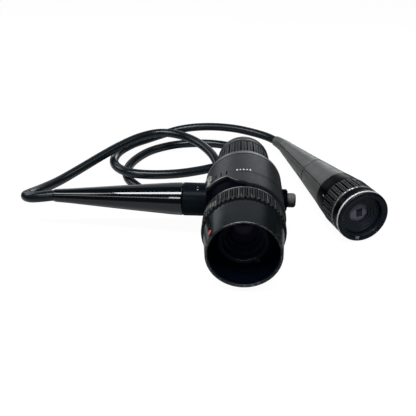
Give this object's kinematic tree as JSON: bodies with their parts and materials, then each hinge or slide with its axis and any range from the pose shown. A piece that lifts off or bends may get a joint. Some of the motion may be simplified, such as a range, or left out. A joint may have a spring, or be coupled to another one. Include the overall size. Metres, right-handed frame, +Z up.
{
  "type": "fibre-optic teaching viewer",
  "caption": "Endoscope teaching attachment: coupling cup with lock ring, beam-splitter body, focusing eyepiece, and a side arm whose fibre cable feeds a second hand-held eyepiece.",
  "frame": {"origin": "centre of the mouth of the seat bore that takes the endoscope eyepiece", "axes": "+Y along the main optical axis towards the main eyepiece, +X to the selector knob side, -X along the side arm, +Z up off the table it lies on"},
  "size_m": [0.3204, 0.3068, 0.0672],
  "materials": {
    "cup_black": "satin black enamel, worn at the edges",
    "shell_grey_black": "matt dark grey-black anodised shell",
    "neck_black": "black anodised, glossy",
    "grip_black": "black, fine ribs, worn tips",
    "boot_black": "smooth glossy black moulding",
    "cable_black": "smooth black sheath",
    "viewer_grey": "weathered grey-black moulding",
    "bright_metal": "polished, slightly tarnished",
    "bare_metal": "turned steel",
    "worn_rim": "worn plated rim",
    "red_paint": "red enamel",
    "cream_paint": "cream enamel",
    "inner_black": "black anodised, matt, non-reflecting",
    "lens_glass": "coated optical glass, violet bloom",
    "prism_glass": "clear optical glass",
    "fibre": "bonded fibre bundle, grey end face",
    "stop_grey": "matt grey disc"
  },
  "bodies": {
    "main_unit": {"coupling_cup": "cup_black", "index_mark": "red_paint", "seat_ring": "neck_black", "locating_pin": "bare_metal", "objective_cell": "inner_black", "objective_lens": "lens_glass", "objective_retainer": "inner_black", "neck_barrel": "neck_black", "body_shell": "shell_grey_black", "rear_bezel": "inner_black", "side_port_flange": "worn_rim", "side_arm_collar": "neck_black", "grub_screws": "bare_metal", "prism_cage": "inner_black", "prism_front": "prism_glass", "prism_rear": "prism_glass", "relay_cell": "inner_black", "relay_lens": "lens_glass", "ferrule_a": "bare_metal", "fibre_bundle_a": "fibre", "boot_a": "boot_black", "cable_loop": "cable_black", "eyepiece_barrel_a": "inner_black", "field_stop_a": "inner_black", "selector_plate": "neck_black", "plate_screw": "neck_black"},
    "lock_ring_body": {"lock_ring": "grip_black"},
    "claw_top_body": {"claw_top": "bare_metal"},
    "claw_left_body": {"claw_left": "bare_metal"},
    "claw_right_body": {"claw_right": "bare_metal"},
    "selector_body": {"selector_knob": "neck_black", "selector_shaft": "bare_metal"},
    "focus_a_body": {"focus_ring_a": "grip_black", "eyecup_a": "neck_black"},
    "lens_a_body": {"lens_cell_a": "inner_black", "eye_lens_a": "lens_glass"},
    "cable_mid_body": {"cable_mid": "cable_black"},
    "viewer_body": {"cable_tail": "cable_black", "boot_b": "viewer_grey", "handle_b": "viewer_grey", "index_cone_b": "neck_black", "index_dot_b": "cream_paint", "eyepiece_barrel_b": "inner_black", "ferrule_b": "bare_metal", "fibre_bundle_b": "fibre", "field_stop_b": "stop_grey"},
    "focus_b_body": {"focus_ring_b": "grip_black", "bright_rim_b": "bright_metal", "face_ring_b": "inner_black", "face_tab_b": "bright_metal"},
    "lens_b_body": {"lens_cell_b": "inner_black", "eye_lens_b": "lens_glass"}
  },
  "joints": [
    {"name": "lock_ring_turn", "type": "hinge", "parent": "main_unit", "child": "lock_ring_body", "pos_m": [0, 0.02, 0], "axis": [0, 1, 0], "range_deg": [0, 45]},
    {"name": "claw_top_slide", "type": "slide", "parent": "main_unit", "child": "claw_top_body", "axis": [0, 0, -1], "range_m": [0, 0.0012]},
    {"name": "claw_left_slide", "type": "slide", "parent": "main_unit", "child": "claw_left_body", "axis": [0.866, 0, 0.5], "range_m": [0, 0.0012]},
    {"name": "claw_right_slide", "type": "slide", "parent": "main_unit", "child": "claw_right_body", "axis": [-0.866, 0, 0.5], "range_m": [0, 0.0012]},
    {"name": "selector_turn", "type": "hinge", "parent": "main_unit", "child": "selector_body", "pos_m": [0.038, 0.068, 0], "axis": [1, 0, 0], "range_deg": [0, 90]},
    {"name": "main_focus_turn", "type": "hinge", "parent": "main_unit", "child": "focus_a_body", "pos_m": [0, 0.115, 0], "axis": [0, 1, 0], "range_deg": [-120, 120]},
    {"name": "main_lens_slide", "type": "slide", "parent": "main_unit", "child": "lens_a_body", "axis": [0, 1, 0], "range_m": [-0.003, 0.003]},
    {"name": "viewer_swing", "type": "hinge", "parent": "main_unit", "child": "cable_mid_body", "pos_m": [0.008, 0.266, -0.0135], "axis": [0, 0, 1], "range_deg": [-7, 20]},
    {"name": "viewer_lift", "type": "hinge", "parent": "cable_mid_body", "child": "viewer_body", "pos_m": [0.026, 0.258, -0.0155], "axis": [-0.9567, -0.2912, 0], "range_deg": [0, 25]},
    {"name": "viewer_focus_turn", "type": "hinge", "parent": "viewer_body", "child": "focus_b_body", "pos_m": [0.09358, 0.08051, -0.01032], "axis": [-0.2909, 0.9556, -0.0461], "range_deg": [-120, 120]},
    {"name": "viewer_lens_slide", "type": "slide", "parent": "viewer_body", "child": "lens_b_body", "axis": [-0.2909, 0.9556, -0.0461], "range_m": [-0.0025, 0.0025]}
  ],
  "couplings": [
    {"joint": "claw_top_slide", "follows": "lock_ring_turn", "m_per_rad": 0.0015277},
    {"joint": "claw_left_slide", "follows": "lock_ring_turn", "m_per_rad": 0.0015277},
    {"joint": "claw_right_slide", "follows": "lock_ring_turn", "m_per_rad": 0.0015277},
    {"joint": "main_lens_slide", "follows": "main_focus_turn", "m_per_rad": 0.0014322},
    {"joint": "viewer_lens_slide", "follows": "viewer_focus_turn", "m_per_rad": 0.0011935}
  ]
}
